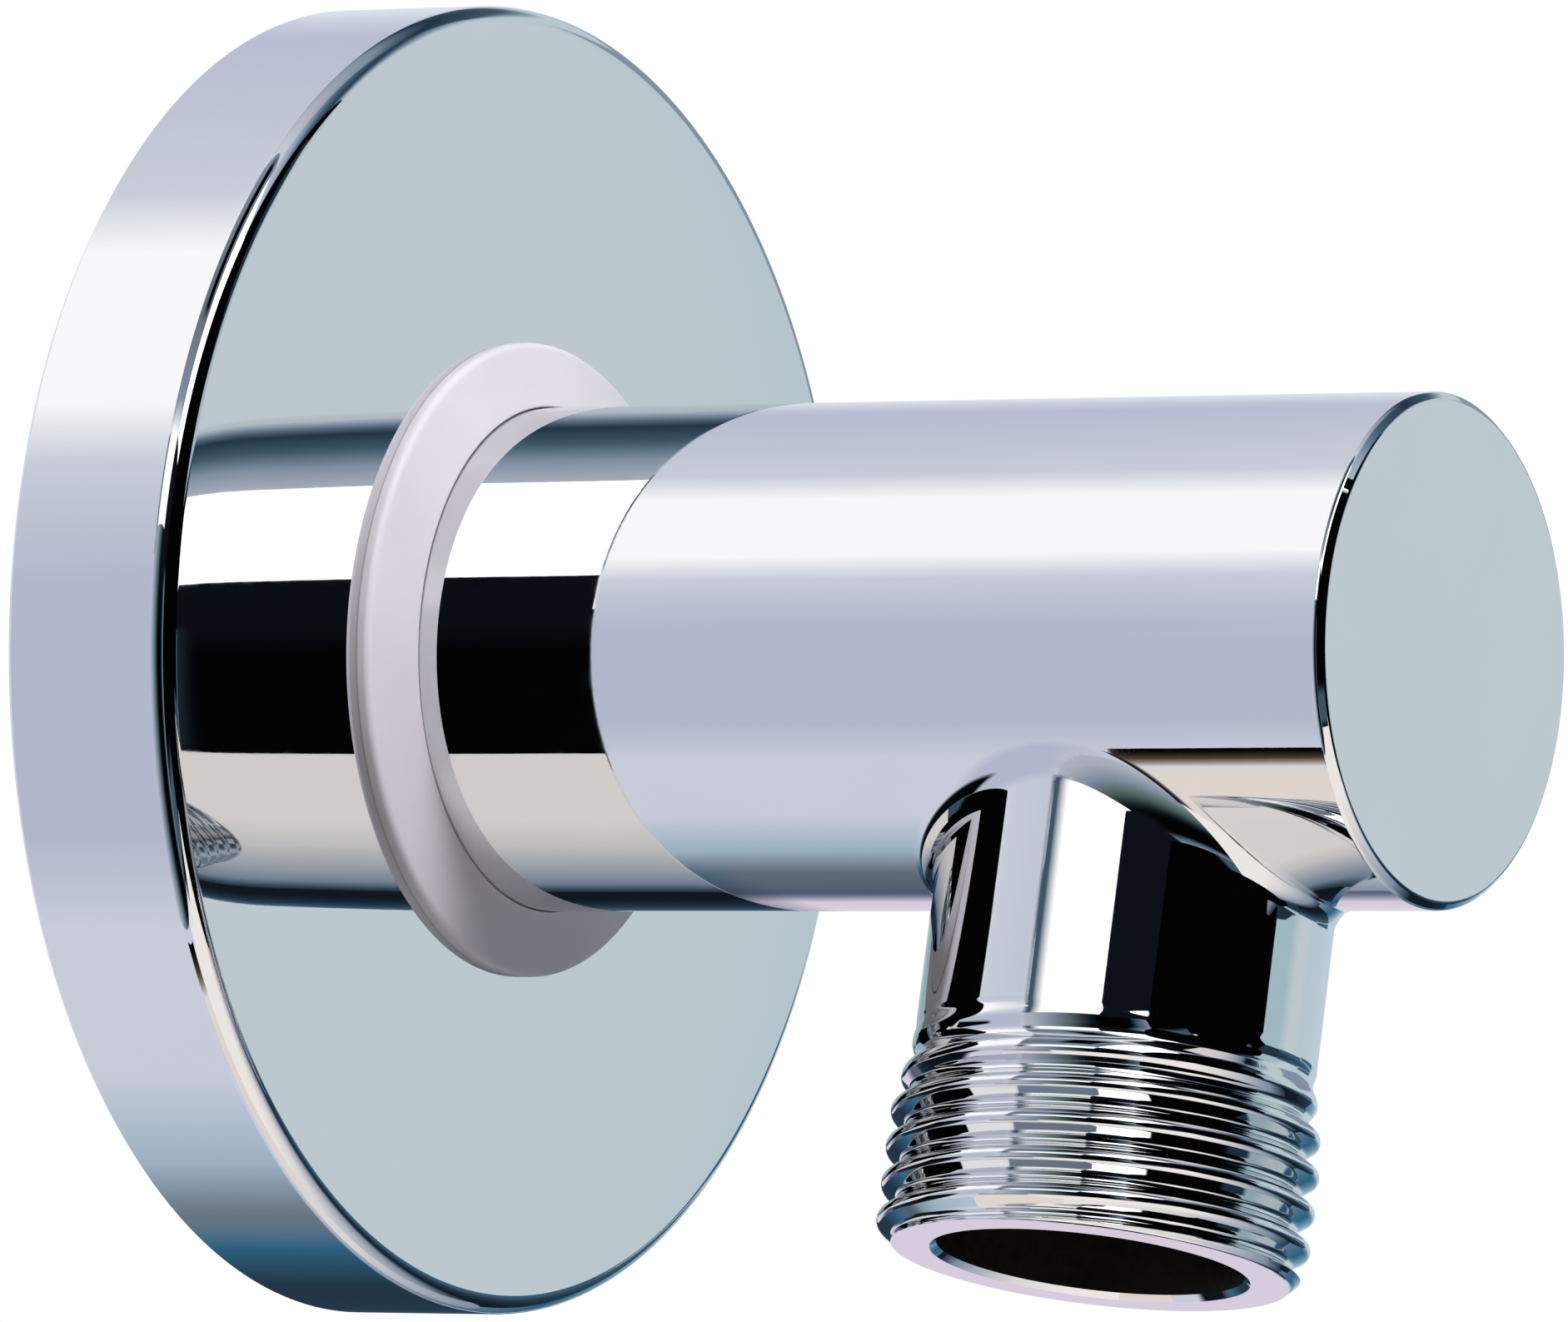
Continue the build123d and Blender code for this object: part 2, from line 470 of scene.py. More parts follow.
elbow = {
    "barrelRadius": elbowHigh.x,
    "barrelEnd": elbowLow.y,
    "inletEnd": elbowHigh.y,
    "nozzleY": mounts["outlet_thread"]["pos_m"][1],
    "nozzleEnd": elbowLow.z,
    "neckRadius": 9.75 * mm,
    "neckLength": 19.5 * mm,
    "blendAtEnds": 0.9 * mm,    # towards the wall and towards the flat end
    "blendAtSides": 3.2 * mm,
    "edge": 0.4 * mm,
    "inletBore": 8.0 * mm,
    "outletBore": 7.5 * mm,
    "boreEnd": -54.3 * mm,
    "drillPoint": 4.6 * mm,
    "mouthChamfer": 0.3 * mm,
    "outletCrestRun": 5.2 * mm,
    "outletRootRun": 0.9 * mm,
    "outletTurn": 0.35,
    "inletRun": 2.0 * mm,
    "inletTurn": 0.4,
    "windowTurn": math.radians(72),   # half the window round a hole, about the barrel's axis
    "barrelWindow": 13.5 * mm,        # and along it, on the barrel and in the bore
    "boreWindow": 8.0 * mm,
    "windowPull": 1.3,                # draws the window's rings towards the hole
    "sideSteps": 48,                  # on each side of a window
    "windowRows": 11,
    "tubeRows": 16,
    "tubeEndRows": 3,
    "blendRows": 17,
    "neckRows": 9,
    "flatEndRows": 6,
    "annulusRows": 5,
    "pointRows": 4,
    "outletPitchRows": 32,
    "inletPitchRows": 14,
}
# a chamfer with rounded corners: inset and drop of each row in chamfer sizes, tilt in degrees
softChamfer = [
    (0, 1.25, 0), (0.1, 0.93, 25), (0.25, 0.75, 45), (0.75, 0.25, 45), (0.93, 0.1, 65), (1.25, 0, 90),
]


def barrelFrame(turn):
    radial = np.stack([np.sin(turn), 0 * turn, -np.cos(turn)], -1)
    return np.zeros(3), radial, np.array([0.0, 1.0, 0.0])


def nozzleFrame(turn):
    radial = np.stack([np.sin(turn), np.cos(turn), 0 * turn], -1)
    return np.array([0.0, elbow["nozzleY"], 0.0]), radial, np.array([0.0, 0.0, 1.0])


def addTurned(shell, frameAt, turns, stations, slot=0):
    origin, radial, axial = frameAt(turns)
    points = np.stack([origin + radius * radial + height * axial for radius, height, tilt in stations])
    tilts = [math.radians(tilt) for radius, height, tilt in stations]
    normals = np.stack([math.cos(tilt) * radial + math.sin(tilt) * axial for tilt in tilts])
    addPatch(shell, points, normals, slot)


def softEdge(radius, height, size, axialSign):
    return [(radius - inset * size, height - axialSign * drop * size, axialSign * tilt)
            for inset, drop, tilt in softChamfer]


def barrelTurns():
    half = elbow["windowTurn"]
    window = np.linspace(-half, half, elbow["sideSteps"] + 1)
    around = np.linspace(half, fullTurn - half, elbow["sideSteps"] * 3 // 2 + 1)
    return around, np.concatenate([window[:-1], around])


def nozzleTurns():
    return np.linspace(-0.25 * math.pi, 1.75 * math.pi, 4 * elbow["sideSteps"] + 1)


# turns and heights where a round hole about the nozzle's axis meets a tube about the barrel's
def holeEdge(holeRadius, tubeRadius):
    phi = nozzleTurns()
    return np.arcsin(holeRadius * np.sin(phi) / tubeRadius), elbow["nozzleY"] + holeRadius * np.cos(phi)


def addHoledTube(shell, radius, hole, halfWindow, high, low, sign, slot=0):
    around, whole = barrelTurns()
    top = elbow["nozzleY"] + halfWindow
    bottom = elbow["nozzleY"] - halfWindow
    tilt = 0 if sign > 0 else 180
    side = elbow["sideSteps"]
    upper = np.linspace(high, top, elbow["tubeRows"])
    lower = np.linspace(bottom, low, elbow["tubeEndRows"])
    beside = np.linspace(top, bottom, side + 1)
    for turns, rows in ((whole, upper), (whole, lower), (around, beside)):
        addTurned(shell, barrelFrame, turns, [(radius, y, tilt) for y in rows], slot)

    # polar patch from the hole's edge out to the window's four sides
    sweep = np.linspace(-1, 1, side + 1)
    square = np.concatenate([
        np.stack([sweep[:-1], np.ones(side)], 1), np.stack([np.ones(side), -sweep[:-1]], 1),
        np.stack([-sweep[:-1], -np.ones(side)], 1), np.stack([-np.ones(side + 1), sweep], 1),
    ])
    share = (np.linspace(0, 1, elbow["windowRows"]) ** elbow["windowPull"])[:, None]
    turns = hole[0] * (1 - share) + square[:, 0] * elbow["windowTurn"] * share
    heights = hole[1] * (1 - share) + (elbow["nozzleY"] + square[:, 1] * halfWindow) * share
    origin, radial, axial = barrelFrame(turns)
    addPatch(shell, origin + radius * radial + heights[..., None] * axial, sign * radial, slot)


def blendRadius(phi):
    return elbow["blendAtEnds"] + (elbow["blendAtSides"] - elbow["blendAtEnds"]) * np.sin(phi) ** 2


# a ball that touches barrel and neck gives the blend's section at each angle
def blendBall(phi):
    return elbow["neckRadius"] + blendRadius(phi), elbow["barrelRadius"] + blendRadius(phi)


def addBlend(shell, phi):
    reach, lift = blendBall(phi)
    ball = np.stack([reach * np.sin(phi), elbow["nozzleY"] + reach * np.cos(phi), 0 * phi], -1)
    ball[:, 2] = -np.sqrt(lift ** 2 - ball[:, 0] ** 2)
    inward = elbow["barrelRadius"] / lift
    onBarrel = ball * np.stack([inward, np.ones(len(phi)), inward], -1)
    origin, radial, axial = nozzleFrame(phi)
    onNeck = origin + elbow["neckRadius"] * radial + ball[:, 2:] * axial
    size = blendRadius(phi)[:, None]
    first = (onBarrel - ball) / size
    last = (onNeck - ball) / size
    spread = np.arccos(np.clip((first * last).sum(1), -1, 1))[:, None]
    steps = np.linspace(0, 1, elbow["blendRows"])[:, None, None]
    ways = (np.sin((1 - steps) * spread) * first + np.sin(steps * spread) * last) / np.sin(spread)
    addPatch(shell, ball + size * ways, -ways)
    return onNeck[:, 2]


def makeElbow():
    shell = newShell()
    phi = nozzleTurns()
    whole = barrelTurns()[1]
    radius = elbow["barrelRadius"]
    edge = elbow["edge"]
    flatEnd = elbow["barrelEnd"]
    flatRadius = radius - softChamfer[-1][0] * edge
    softRun = softChamfer[0][1] * edge

    # barrel with its hole for the blend, soft edges and flat end
    blendEdge = holeEdge(*blendBall(phi))
    addHoledTube(shell, radius, blendEdge, elbow["barrelWindow"], -softRun, flatEnd + softRun, 1)
    addTurned(shell, barrelFrame, whole, softEdge(radius, flatEnd, edge, -1))
    rings = np.linspace(flatRadius, 0, elbow["flatEndRows"])
    addTurned(shell, barrelFrame, whole, [(r, flatEnd, -90) for r in rings])
    addTurned(shell, barrelFrame, whole, softEdge(radius, 0, edge, 1))

    # blend and neck
    contact = addBlend(shell, phi)
    origin, radial, axial = nozzleFrame(phi)
    share = np.linspace(0, 1, elbow["neckRows"])[:, None]
    heights = contact * (1 - share) - elbow["neckLength"] * share
    addPatch(shell, origin + elbow["neckRadius"] * radial + heights[..., None] * axial, radial)

    # outlet thread, end face, mouth and outlet bore
    end = elbow["nozzleEnd"]
    outlet = makeThread(len(phi) - 1, elbow["outletPitchRows"], -end - elbow["neckLength"],
                        elbow["neckRadius"], elbow["outletCrestRun"], elbow["outletRootRun"],
                        elbow["outletTurn"])
    addMesh(shell, outlet, Matrix.Translation((0, elbow["nozzleY"], -elbow["neckLength"])))
    mouth = elbow["outletBore"] + elbow["mouthChamfer"]
    rings = np.linspace(thread["endRadius"], mouth, elbow["annulusRows"])
    addTurned(shell, nozzleFrame, phi, [(r, end, -90) for r in rings])
    inside = end + elbow["mouthChamfer"]
    addTurned(shell, nozzleFrame, phi, [(mouth, end, 225), (elbow["outletBore"], inside, 225)])
    crossing = -np.sqrt(elbow["inletBore"] ** 2 - (elbow["outletBore"] * np.sin(phi)) ** 2)
    heights = inside * (1 - share) + crossing * share
    # the outlet bore takes slot 1: brass painted almost black, painted shade down the bore
    addPatch(shell, origin + elbow["outletBore"] * radial + heights[..., None] * axial, -radial, 1)

    # inlet thread, its end face and the blind bore
    bore = elbow["inletBore"]
    boreEnd = elbow["boreEnd"]
    inletEnd = elbow["inletEnd"]
    inlet = makeThread(len(whole) - 1, elbow["inletPitchRows"], inletEnd, thread["endRadius"],
                       elbow["inletRun"], elbow["inletRun"], elbow["inletTurn"])
    addMesh(shell, inlet, Matrix.Rotation(math.radians(90), 4, "X"))
    addTurned(shell, barrelFrame, whole, [(flatRadius, 0, 90), (thread["endRadius"], 0, 90)])
    addTurned(shell, barrelFrame, whole, [(thread["endRadius"], inletEnd, 90), (bore, inletEnd, 90)])
    boreEdge = holeEdge(elbow["outletBore"], bore)
    # the inlet bore and its drill point take slot 1: brass painted almost black, painted shade inside
    addHoledTube(shell, bore, boreEdge, elbow["boreWindow"], inletEnd, boreEnd, -1, 1)
    point = boreEnd - elbow["drillPoint"]
    tilt = 180 - math.degrees(math.atan2(bore, elbow["drillPoint"]))
    shares = np.linspace(0, 1, elbow["pointRows"])
    cone = [(bore * (1 - s), boreEnd * (1 - s) + point * s, tilt) for s in shares]
    addTurned(shell, barrelFrame, whole, cone, 1)
    mesh = shellMesh("elbow", shell)
    finishPiece("elbow", mesh, [chromePlate, brassPaintedShade], "elbow", "elbow_body")


makeElbow()


# Turned pieces: a closed profile of radius and height swept round the barrel axis

def turnedPieceTree():
    tree = newTree("turnedPiece", [("Profile", "Geometry"), ("Columns", "Int"), ("Material", "Material")])
    calc = calculator(tree)
    size = addNode(tree, "NodeGroupInput").outputs
    count = addNode(tree, "GeometryNodeAttributeDomainSize", component="MESH")
    tree.links.new(size["Profile"], count.inputs["Geometry"])
    grid = unitGrid(tree, calc("ADD", size["Columns"], 1.0), count.outputs["Point Count"])
    position = addNode(tree, "GeometryNodeInputPosition").outputs["Position"]
    spot = splitXYZ(tree, position)
    angle = calc("MULTIPLY", calc("ADD", spot["X"], 0.5), fullTurn)
    last = calc("SUBTRACT", count.outputs["Point Count"], 1.0)
    row = calc("ROUND", calc("MULTIPLY", calc("ADD", spot["Y"], 0.5), last))
    slope = addNode(tree, "GeometryNodeInputNamedAttribute", data_type="FLOAT_VECTOR")
    slope.inputs["Name"].default_value = "slope"

    def sweep(field):
        sample = addNode(tree, "GeometryNodeSampleIndex", data_type="FLOAT_VECTOR", domain="POINT")
        tree.links.new(size["Profile"], sample.inputs["Geometry"])
        feed(tree, sample.inputs["Value"], field)
        feed(tree, sample.inputs["Index"], row)
        flat = splitXYZ(tree, sample.outputs["Value"])
        across = calc("MULTIPLY", flat["X"], calc("COSINE", angle))
        upward = calc("MULTIPLY", flat["X"], calc("SINE", angle))
        return joinXYZ(tree, across, flat["Y"], upward)

    keep = addNode(tree, "GeometryNodeStoreNamedAttribute", data_type="FLOAT_VECTOR", domain="CORNER")
    keep.inputs["Name"].default_value = "shadeNormal"
    tree.links.new(grid, keep.inputs["Geometry"])
    feed(tree, keep.inputs["Value"], sweep(slope.outputs["Attribute"]))
    shape = addNode(tree, "GeometryNodeSetPosition")
    tree.links.new(keep.outputs["Geometry"], shape.inputs["Geometry"])
    tree.links.new(sweep(position), shape.inputs["Position"])
    finishTree(tree, shape.outputs["Geometry"], size["Material"])
    return tree


turnTree = turnedPieceTree()


# both give points of the profile and the way that the surface faces there
def line(start, end, steps=1):
    start = np.array(start)
    end = np.array(end)
    share = np.linspace(0, 1, steps + 1)[:, None]
    points = start * (1 - share) + end * share
    along = (end - start) / np.hypot(*(end - start))
    return points, np.broadcast_to([along[1], -along[0]], points.shape)


def arc(centre, radius, fromDegrees, toDegrees, steps):
    angles = np.radians(np.linspace(fromDegrees, toDegrees, steps + 1))
    ways = np.stack([np.cos(angles), np.sin(angles)], 1)
    return np.array(centre) + radius * ways, ways


def turnPiece(name, segments, columns, material):
    points = np.concatenate([segment[0] for segment in segments])
    slopes = np.concatenate([segment[1] for segment in segments])
    profile = bpy.data.meshes.new(name + "Profile")
    profile.from_pydata([(r, y, 0) for r, y in points], [], [])
    attribute = profile.attributes.new("slope", "FLOAT_VECTOR", "POINT")
    attribute.data.foreach_set("vector", np.pad(slopes, ((0, 0), (0, 1))).ravel())
    return runTree(turnTree, profile, {"Columns": columns, "Material": material})


# Rosette: polished cup with a barely domed face, plain inside

rosette = {
    "radius": rosetteHigh.x,
    "face": rosetteLow.y,
    "wall": 1.5 * mm,
    "hole": 14.08 * mm,
    "edgeFillet": 1.0 * mm,
    "rimChamfer": 0.3 * mm,
    "dome": 0.73,          # per metre, from the ring outwards
    "domeStart": 14.0 * mm,
    "rollTilt": 0.02,      # radians, where the roll-off meets the edge's rounding
    "rollPower": 2.8,
    "rollStart": 25.0 * mm,
    "columns": 288,
    "faceRows": 24,
    "rollRows": 20,
    "filletSteps": 16,
    "rimSteps": 6,
    "wallSteps": 4,
    "backSteps": 6,
    "meetRounds": 12,      # to settle where the face meets the rounding
    "backSlack": 0.1 * mm,
    "wallSlack": 0.01 * mm,
}


def makeRosette():
    outer = rosette["radius"]
    fillet = rosette["edgeFillet"]
    chamfer = rosette["rimChamfer"]
    inner = outer - rosette["wall"]
    back = rosette["face"] + rosette["wall"]
    hole = rosette["hole"]
    rollStart = rosette["rollStart"]
    rollRun = outer - fillet - rollStart
    power = rosette["rollPower"]

    def faceHeight(r):
        roll = np.maximum(r - rollStart, 0) / rollRun
        drop = rosette["rollTilt"] * rollRun * roll ** (power + 1) / (power + 1)
        return rosette["face"] + rosette["dome"] * (r - rosette["domeStart"]) ** 2 + drop

    def faceSlope(r):
        roll = np.maximum(r - rollStart, 0) / rollRun
        return 2 * rosette["dome"] * (r - rosette["domeStart"]) + rosette["rollTilt"] * roll ** power

    # where the face runs tangent into the edge's rounding
    meet = outer - fillet
    for turn in range(rosette["meetRounds"]):
        tilt = np.arctan(faceSlope(meet))
        meet = outer - fillet + fillet * np.sin(tilt)
    centre = (outer - fillet, faceHeight(meet) + fillet * np.cos(tilt))

    radii = np.concatenate([np.linspace(hole, rollStart, rosette["faceRows"]),
                            np.linspace(rollStart, meet, rosette["rollRows"])[1:]])
    slopes = faceSlope(radii)
    length = np.hypot(1, slopes)
    face = (np.stack([radii, faceHeight(radii)], 1), np.stack([slopes / length, -1 / length], 1))
    segments = [
        face,
        arc(centre, fillet, math.degrees(tilt) - 90, 0, rosette["filletSteps"]),
        line((outer, centre[1]), (outer, -chamfer), rosette["rimSteps"]),
        line((outer, -chamfer), (outer - chamfer, 0)),
        line((outer - chamfer, 0), (inner, 0)),
        line((inner, 0), (inner, back), rosette["wallSteps"]),
        line((inner, back), (hole, back), rosette["backSteps"]),
        line((hole, back), (hole, rosette["face"])),
    ]
    mesh = turnPiece("rosetteCup", segments, rosette["columns"], chromePlate)
    deepest = back - rosette["backSlack"]
    widest = inner + rosette["wallSlack"]
    middles = [polygon.center for polygon in mesh.polygons]
    inside = [middle.y > deepest and math.hypot(middle.x, middle.z) < widest for middle in middles]
    mesh.polygons.foreach_set("material_index", np.array(inside, int))
    finishPiece("rosetteCup", mesh, [chromePlate, dullPlate], "rosette_cover", "rosette")


makeRosette()


# Sealing ring: soft-edged cone in front, neck and snap lip in the rosette's hole

ring = {
    "bore": 12.53 * mm,
    "neck": 13.98 * mm,
    "flange": ringHigh.x,
    "lip": 14.88 * mm,
    "front": ringLow.y,
    "back": ringHigh.y,
    "seat": rosetteLow.y,
    "lipStart": -7.9 * mm,
    "wallHeight": 0.65 * mm,
    "outerRound": 0.40 * mm,
    "crownRound": 0.07 * mm,
    "columns": 192,
    "crownSteps": 12,
    "coneSteps": 10,
    "rimSteps": 10,
    "boreSteps": 6,
}


def makeRing():
    bore = ring["bore"]
    neck = ring["neck"]
    flange = ring["flange"]
    seat = ring["seat"]
    lipStart = ring["lipStart"]
    outer = ring["outerRound"]
    small = ring["crownRound"]
    wallTop = seat - ring["wallHeight"]
    crownX = bore + small
    coneTilt = math.degrees(math.atan2(wallTop - ring["front"], flange - crownX)) - 90
    tilt = math.radians(coneTilt)

    # the rounding at the rim touches the wall and the cone
    gap = outer * math.tan(abs(tilt) / 2)
    rimCentre = (flange - outer, wallTop + gap)
    coneOut = (rimCentre[0] + outer * math.cos(tilt), rimCentre[1] + outer * math.sin(tilt))
    along = Vector((math.sin(tilt), -math.cos(tilt)))
    shift = (coneOut[0] - (crownX + small * math.cos(tilt))) / along.x
    coneIn = (coneOut[0] - along.x * shift, coneOut[1] - along.y * shift)
    crownCentre = (crownX, coneIn[1] - small * math.sin(tilt))
    segments = [
        arc(crownCentre, small, 180, 360 + coneTilt, ring["crownSteps"]),
        line(coneIn, coneOut, ring["coneSteps"]),
        arc(rimCentre, outer, coneTilt, 0, ring["rimSteps"]),
        line((flange, rimCentre[1]), (flange, seat), 2),
        line((flange, seat), (neck, seat)),
        line((neck, seat), (neck, lipStart)),
        line((neck, lipStart), (ring["lip"], lipStart)),
        line((ring["lip"], lipStart), (neck, ring["back"]), 2),
        line((neck, ring["back"]), (bore, ring["back"])),
        line((bore, ring["back"]), (bore, crownCentre[1]), ring["boreSteps"]),
    ]
    mesh = turnPiece("sealingRing", segments, ring["columns"], milkyPlastic)
    finishPiece("sealingRing", mesh, [milkyPlastic], "ring", "sealing_ring")


makeRing()


# Camera, placed by its angle and the photograph's scale

camera = {
    "azimuth": -58.47,
    "elevation": -13.05,
    "roll": 7.354,
    "distance": 831 * mm,
    "slideRight": 12.88 * mm,
    "slideUp": -0.057 * mm,
    "pixelsPerMetre": 24170.0,   # at the rosette's face
    "imageWidth": 1883,
    "sensor": 36.0,
    "clipStart": 0.05,
    "clipEnd": 50,
}


def cameraAxes():
    azimuth = math.radians(camera["azimuth"])
    elevation = math.radians(camera["elevation"])
    level = math.cos(elevation)
    back = Vector((math.sin(azimuth) * level, -math.cos(azimuth) * level, math.sin(elevation)))
    roll = Matrix.Rotation(math.radians(camera["roll"]), 3, back)
    right = roll @ Vector((0, 0, 1)).cross(back).normalized()
    return right, back.cross(right), back


def makeCamera():
    right, up, back = cameraAxes()
    target = Vector((0, rosette["face"], 0))
    place = target + right * camera["slideRight"] + up * camera["slideUp"] + back * camera["distance"]
    data = bpy.data.cameras.new("photoCamera")
    data.sensor_width = camera["sensor"]
    data.lens = camera["pixelsPerMetre"] * camera["distance"] / camera["imageWidth"] * camera["sensor"]
    data.clip_start = camera["clipStart"]
    data.clip_end = camera["clipEnd"]
    holder = bpy.data.objects.new("photoCamera", data)
    scene.collection.objects.link(holder)
    holder.matrix_world = Matrix.Translation(place) @ Matrix((right, up, back)).transposed().to_4x4()
    scene.camera = holder
    print("camera lens", round(data.lens, 1))


makeCamera()


# Studio: pale floor, white surroundings and curved cards round the barrel axis for the metal to mirror

# screen values, 0 to 255 and for the glare above it
tints = {
    "glare": (285, 285, 285),
    "white": (255, 255, 255),
    "snow": (248, 247, 248),
    "pearl": (199, 203, 215),
    "lilac": (178, 183, 202),
    "haze": (154, 174, 191),
    "orchid": (204, 194, 211),
    "storm": (98, 108, 118),
    "mauve": (78, 86, 111),
    "ash": (166, 171, 182),
    "steel": (126, 140, 158),
    "slate": (60, 84, 100),
    "moss": (74, 92, 88),
    "teal": (44, 92, 122),
    "night": (33, 51, 67),
    "ink": (15, 22, 31),
    "indigo": (14, 16, 25),
    "black": (3, 3, 4),
    "brown": (74, 58, 46),
    "sand": (222, 211, 204),
    "cream": (236, 229, 225),
    "paper": (214, 211, 211),
    "mist": (188, 199, 204),
    "sea": (181, 196, 203),
    "lagoon": (158, 183, 191),
}
studio = {
    "drumRadius": 0.9,
    "gain": 1.32,          # cards seen once in the metal
    "doubleGain": 1.74,    # cards seen by way of two pieces
    "drumDepth": 1.05,     # in drum radii, from the wall plane to the front cap
    "outerLayer": 1.01,    # in drum radii, for cards behind or before others
    "middleLayer": 0.985,
    "innerLayer": 0.97,
    "cardStep": 0.5,       # degrees
    "cardRows": 41,
    "capColumns": 361,
    "capRows": 9,
    "tableRadius": 0.12,
    "shadeRadius": 0.10,
    "floorDrop": 1.0,
    "floorSize": 14.0,
    "floorTint": (0.80, 0.795, 0.80),
    "floorShade": 0.97,    # of the tint, where the floor is darkest
    "floorCloud": 2.0,
    "floorRoughness": 0.9,
    "floorLift": 0.52,     # keeps the floor pale in the picture
    "skyForDiffuse": 0.25,
    "keyPower": 17.5,
    "keySize": 0.55,
    "keyPlace": (-0.56, -0.72, 0.80),
    "white": (1, 1, 1, 1),
}


# light from screen values
def linear(tint):
    value = np.array(tint) / 255
    return np.where(value <= 0.04045, value / 12.92, ((value + 0.055) / 1.055) ** 2.4)


def cardFinish():
    material, tree, shader = newMaterial("studioCard")
    tree.nodes.remove(shader)
    glow = addNode(tree, "ShaderNodeAttribute", attribute_name="glow")
    veil = addNode(tree, "ShaderNodeAttribute", attribute_name="veil")
    light = addNode(tree, "ShaderNodeEmission")
    clear = addNode(tree, "ShaderNodeBsdfTransparent")
    mix = addNode(tree, "ShaderNodeMixShader")
    tree.links.new(glow.outputs["Color"], light.inputs["Color"])
    tree.links.new(veil.outputs["Fac"], mix.inputs["Fac"])
    tree.links.new(clear.outputs["BSDF"], mix.inputs[1])
    tree.links.new(light.outputs["Emission"], mix.inputs[2])
    tree.links.new(mix.outputs["Shader"], tree.nodes["Material Output"].inputs["Surface"])
    material.cycles.emission_sampling = "NONE"
    return material


studioCard = cardFinish()


def drumAxes():
    back = cameraAxes()[2]
    out = Vector((0, -1, 0))
    lateral = (back - out * back.dot(out)).normalized()
    return np.array(lateral), np.array(lateral.cross(out)), np.array(out)


def stageMesh(name, points, faces, material):
    mesh = bpy.data.meshes.new(name)
    mesh.from_pydata(points, [], faces)
    mesh.materials.append(material)
    item = bpy.data.objects.new(name, mesh)
    scene.collection.objects.link(item)
    return item


def tintAt(where, stops, power):
    places = [stop[0] for stop in stops]
    shades = np.array([tints[stop[1]] for stop in stops], float)
    glow = np.stack([np.interp(where, places, shades[:, channel]) for channel in range(3)], -1)
    return np.concatenate([power * linear(glow), np.ones(where.shape + (1,))], -1)


def hangCard(name, points, glow, veil):
    card = stageMesh(name, points.reshape(-1, 3).tolist(), gridQuads(*points.shape[:2]), studioCard)
    tint = card.data.attributes.new("glow", "FLOAT_COLOR", "POINT")
    tint.data.foreach_set("color", glow.ravel())
    cover = card.data.attributes.new("veil", "FLOAT", "POINT")
    cover.data.foreach_set("value", veil.ravel())
    card.visible_camera = False
    card.visible_diffuse = False
    card.visible_shadow = False


# a card bent round the barrel axis: turns in degrees, reach along the axis in units of its radius
def addCard(name, turns, reach, stops, radius=studio["drumRadius"], power=studio["gain"], along=False,
            nearSoft=0.0, farSoft=0.0, turnSoft=0.0):
    lateral, upward, out = drumAxes()
    step = studio["cardStep"]
    degrees = np.arange(turns[0], turns[1] + step / 2, step)
    angles = np.radians(degrees)[None, :, None]
    depths = np.linspace(reach[0], reach[1], studio["cardRows"])
    points = radius * (np.cos(angles) * lateral + np.sin(angles) * upward + depths[:, None, None] * out)
    across, deep = np.meshgrid(degrees, depths)
    glow = tintAt(deep if along else across, stops, power)
    veil = np.ones(deep.shape)
    if nearSoft:
        veil = veil * np.clip(np.abs(deep - reach[0]) / nearSoft, 0, 1)
    if farSoft:
        veil = veil * np.clip(np.abs(deep - reach[1]) / farSoft, 0, 1)
    if turnSoft:
        veil = veil * np.clip(np.minimum(across - turns[0], turns[1] - across) / turnSoft, 0, 1)
    hangCard(name, points, glow, veil)


# a flat ring across the front of the drum: radii in units of the drum's
def addCapRing(name, radii, stops):
    lateral, upward, out = drumAxes()
    degrees = np.linspace(-180, 180, studio["capColumns"])
    angles = np.radians(degrees)[None, :, None]
    spread = np.linspace(radii[0], radii[1], studio["capRows"])[:, None, None]
    points = spread * (np.cos(angles) * lateral + np.sin(angles) * upward) + studio["drumDepth"] * out
    across = np.broadcast_to(degrees[None, :], points.shape[:2])
    glow = tintAt(across, stops, studio["gain"])
    hangCard(name, points * studio["drumRadius"], glow, np.ones(across.shape))


